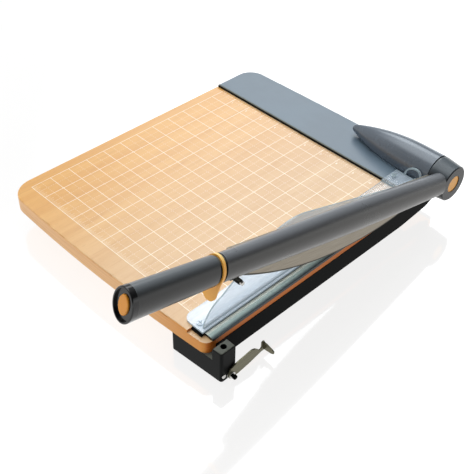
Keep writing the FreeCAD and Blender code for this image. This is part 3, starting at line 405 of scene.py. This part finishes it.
def make_cover_paint():
    """Satin blue-grey paint with a slight orange peel and cloudy tone."""
    shade = Shade("cover_paint", linear(98, 114, 128), 0.38, Coat_Weight=0.12,
                  Coat_Roughness=0.3)
    peel = shade.noise(shade.place, 1500, detail=2)
    cloud = shade.noise(shade.place, 14, detail=4)
    shade.color(shade.mix(shade.step(cloud, 0.3, 0.7), linear(94, 110, 124),
                          linear(103, 120, 134)))
    shade.roughness(0.33, cloud, 0.10)
    shade.soft_edges(0.0005)
    shade.bump(peel, 0.00002, 0.4)
    return shade.finish()


def make_clear():
    """Clear moulded acrylic: a white veil that thins to the rear, partly scuffs and partly a
    painted reflection, a painted glow, and denser grey edges.
    """
    # faint blue-white emission: a painted glow of light caught inside the acrylic
    shade = Shade("clear_acrylic", linear(236, 244, 252), 0.06, IOR=1.49,
                  Emission_Color=linear(214, 236, 255), Emission_Strength=0.16)
    scuff = shade.noise(shade.stretched((90, 14, 90)), detail=6, rough=0.7)
    normal = shade.axes(shade.node("ShaderNodeNewGeometry").outputs["True Normal"])
    y, z = shade.axes()[1:]
    low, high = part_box("blade_guard")
    # the white veil, partly scuffs and partly a painted reflection, clears towards the rear
    clearer = shade.step(y, low.y + 0.16, high.y - 0.02, 0.0, 0.34)
    scuff_and_sheen = shade.math("SUBTRACT", shade.step(scuff, 0.35, 0.8, 0.46, 0.66), clearer)

    # an edge is a face of the upright wall that doesn't look sideways, or one of the flat
    # flange that doesn't look up or down
    standing = shade.step(z, WALL_FOOT, WALL_FOOT + 0.0004)
    lying = shade.math("SUBTRACT", 1.0, standing)
    sideways = shade.math("ABSOLUTE", normal[0])
    upright = shade.math("ABSOLUTE", normal[2])
    edge = shade.either(shade.both(standing, shade.step(sideways, 0.45, 0.6, 1.0, 0.0)),
                        shade.both(lying, shade.step(upright, 0.45, 0.6, 1.0, 0.0)))
    shade.color(shade.mix(edge, linear(236, 244, 252), linear(120, 132, 130)))
    shade.socket("Alpha", shade.either(scuff_and_sheen, shade.math("MULTIPLY", edge, 0.8)))
    shade.socket("Roughness", shade.step(scuff, 0.4, 0.8, 0.05, 0.22))
    shade.bump(scuff, 0.00002, 0.2)
    return shade.finish()


def make_rubber():
    """Matt black rubber with dust in its grain."""
    shade = Shade("rubber", linear(34, 34, 35), 0.75)
    fine = shade.noise(shade.place, 1400, detail=3)
    dust = shade.noise(shade.place, 60, detail=5)
    shade.color(shade.mix(shade.step(dust, 0.45, 0.8), linear(30, 30, 31), linear(62, 60, 57)))
    shade.bump(fine, 0.00006, 0.6)
    return shade.finish()


def make_ink():
    """White printing ink, slightly worn."""
    shade = Shade("print_ink", linear(255, 249, 238), 0.35)
    wear = shade.noise(shade.place, 900, detail=4)
    shade.color(shade.mix(shade.step(wear, 0.55, 0.8, 0.0, 0.5), linear(255, 249, 238),
                          linear(226, 190, 140)))
    shade.bump(wear, 0.00001, 0.4)
    return shade.finish()


# the top colours given to the plastics paint a highlight on faces that look up
MATERIALS = {
    "wood": make_wood(),
    "cover_paint": make_cover_paint(),
    "housing_plastic": make_plastic("housing_plastic", linear(90, 93, 97), 0.28,
                                    Coat_Weight=0.7, Coat_Roughness=0.20,
                                    Coat_Tint=linear(226, 240, 255)),
    "arm_plastic": make_plastic("arm_plastic", linear(35, 33, 29), 0.30,
                                painted_top_highlight=linear(104, 107, 112),
                                Coat_Weight=0.45, Coat_Roughness=0.24),
    "grip_rubber": make_plastic("grip_rubber", linear(11, 11, 9), 0.32, depth=0.00008,
                                painted_top_highlight=linear(92, 97, 101),
                                Coat_Weight=0.3, Coat_Roughness=0.26),
    "gloss_black": make_plastic("gloss_black", linear(12, 12, 13), 0.16, depth=0.00001,
                                Coat_Weight=0.3, Coat_Roughness=0.1,
                                Specular_IOR_Level=0.4),
    "orange": make_plastic("orange", linear(222, 144, 38), 0.34, depth=0.00003, mottle=0.05),
    "blade_steel": make_cutting_blade(),
    "bed_steel": make_bed_steel(),
    "zinc_steel": make_steel("zinc_steel", linear(150, 150, 146), 0.38, along=(600, 600, 600)),
    "bright_steel": make_steel("bright_steel", linear(205, 204, 200), 0.22,
                               along=(900, 900, 900)),
    "dark_steel": make_steel("dark_steel", linear(114, 111, 91), 0.34, mark=0.3),
    "black_steel": make_plastic("black_steel", linear(8, 10, 10), 0.36, grain=1500,
                                depth=0.00003, mottle=0.3, edges=0.0006,
                                Specular_IOR_Level=0.015),
    "black_plastic": make_plastic("black_plastic", linear(14, 15, 15), 0.36, mottle=0.3,
                                  edges=0.0009, painted_top_highlight=linear(104, 106, 99),
                                  Specular_IOR_Level=0.05),
    "rubber": make_rubber(),
    "bronze": make_steel("bronze", linear(176, 134, 82), 0.40, along=CROSSWISE),
    "clear_acrylic": make_clear(),
}

# nodes given a darker and a paler copy of their slot's plastic, carrying painted shade and
# painted highlight
# hub: darker than the housing plastic, partly its own near black and partly painted shade under
# the arm
SHADED_HUB_PLASTIC = make_plastic("shaded_hub_plastic", linear(16, 18, 20), 0.26, Coat_Weight=0.25,
                           Coat_Roughness=0.18, Specular_IOR_Level=0.25,
                           painted_top_highlight=linear(78, 86, 92))
# cap and ring: a paler orange, a painted highlight
LIT_ORANGE = make_plastic("lit_orange", linear(242, 172, 70), 0.32, depth=0.00003,
                           mottle=0.05, painted_top_highlight=linear(255, 214, 132))
OWN_MATERIALS = {"hub": SHADED_HUB_PLASTIC, "hub_cap": LIT_ORANGE, "finger_ring": LIT_ORANGE}

for part in frame["record"]["subparts"]:
    material = OWN_MATERIALS.get(part["node"], MATERIALS[part["material_slot"]])
    for holder in NODES[part["node"]].material_slots:
        holder.material = material


# ------------------------------------------------------------------ printed numerals

def make_numerals():
    """Inch numbers printed along the back of the ruling, as thin solid ink."""
    ink = make_ink()
    for inch in NUMERALS:
        text = bpy.data.curves.new("numeral_text", "FONT")
        text.body = str(inch)
        text.size = NUMERAL_SIZE
        text.align_x = "CENTER"
        text.extrude = INK_DEPTH
        lettering = bpy.data.objects.new("numeral_source", text)
        bpy.context.scene.collection.objects.link(lettering)
        bpy.context.view_layer.update()
        shape = lettering.evaluated_get(bpy.context.evaluated_depsgraph_get())
        mesh = bpy.data.meshes.new_from_object(shape)
        mesh.transform(Matrix.Translation((RULE_X + inch * INCH + NUMERAL_ASIDE,
                                           RULE_Y + NUMERAL_ROW * INCH, BOARD_TOP)))
        mesh.materials.clear()
        mesh.materials.append(ink)
        piece = bpy.data.objects.new("numeral_%d" % inch, mesh)
        bpy.context.scene.collection.objects.link(piece)
        bpy.data.objects.remove(lettering)
        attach(piece, "base")


make_numerals()


# ------------------------------------------------------------------ studio

# soft lights of the world: the way towards the light, how near to that way (1 is straight at
# it) the light starts and is full, and its radiance
SOFTBOXES = (
    ((-0.25, 0.10, 0.96), 0.80, 0.97, 2.7),         # overhead
    ((-0.80, 0.35, 0.50), 0.20, 0.80, 0.25),        # broad and weak, on the left
    ((-0.50, 0.60, 0.63), 0.955, 0.998, 4.0),       # small and strong, behind on the left
    ((-0.55, -0.80, 0.25), 0.3, 1.0, 0.35),         # weak and low, at the front left
    ((0.92, 0.10, 0.25), 0.30, 0.85, -0.26),        # negative: a dark flag on the right
)
FILL = 0.32
HORIZON = 0.92
HORIZON_HEIGHT = (0.08, 0.18)       # where the pale band starts to fade, and has faded
SKY_TINT = (0.955, 0.985, 1.0, 1.0)
FLOOR_HALF = 6.0
FLOOR_ALBEDO = (0.07, 0.07, 0.07, 1.0)
FLOOR_GLOW = (1.0, 0.995, 0.99, 1.0)

# camera: place in metres, its backward and right directions, and its lens in millimetres
CAMERA_PLACE = (0.5489, -0.51243, 0.66466)
CAMERA_BACK = (0.51614, -0.54225, 0.66299)
CAMERA_RIGHT = (0.70671, 0.70695, 0.02802)
SENSOR_WIDTH = 36.0
LENS = 66.49
LENS_SHIFT = -0.0274
CLIP_START = 0.05


def make_floor():
    """Pale floor that glows softly and mirrors the object faintly."""
    mesh = bpy.data.meshes.new("floor")
    half = FLOOR_HALF
    corners = [(-half, -half, 0), (half, -half, 0), (half, half, 0), (-half, half, 0)]
    mesh.from_pydata(corners, [], [(0, 1, 2, 3)])
    floor = bpy.data.objects.new("floor", mesh)
    bpy.context.scene.collection.objects.link(floor)
    shade = Shade("floor", FLOOR_ALBEDO, 0.09, IOR=2.0, Emission_Color=FLOOR_GLOW,
                  Emission_Strength=0.85)
    mesh.materials.append(shade.finish())


def make_studio():
    """World light: an even fill, the soft lights, and a pale band at the horizon."""
    world = bpy.data.worlds.new("studio")
    world.use_nodes = True
    sky = Nodes(world.node_tree, "Generated")
    height = sky.axes()[2]
    radiance = FILL
    for way, low, high, amount in SOFTBOXES:
        nearness = sky.vector("DOT_PRODUCT", sky.place, Vector(way).normalized(), "Value")
        radiance = sky.math("ADD", radiance, sky.step(nearness, low, high, 0.0, amount))
    radiance = sky.either(radiance, sky.step(height, *HORIZON_HEIGHT, HORIZON, 0.0))
    background = world.node_tree.nodes["Background"]
    sky.put(background.inputs["Strength"], radiance)
    sky.put(background.inputs["Color"], SKY_TINT)
    bpy.context.scene.world = world
    bpy.context.scene.view_settings.view_transform = "Standard"


def make_camera():
    """Camera at the photograph's viewing angle."""
    data = bpy.data.cameras.new("camera")
    data.sensor_width = SENSOR_WIDTH
    data.lens = LENS
    data.shift_x = LENS_SHIFT
    data.clip_start = CLIP_START
    camera = bpy.data.objects.new("camera", data)
    back = Vector(CAMERA_BACK).normalized()
    right = Vector(CAMERA_RIGHT)
    right = (right - back * right.dot(back)).normalized()
    up = back.cross(right)
    turn = Matrix((right, up, back)).transposed().to_4x4()
    camera.matrix_world = Matrix.Translation(CAMERA_PLACE) @ turn
    bpy.context.scene.collection.objects.link(camera)
    bpy.context.scene.camera = camera


make_floor()
make_studio()
make_camera()
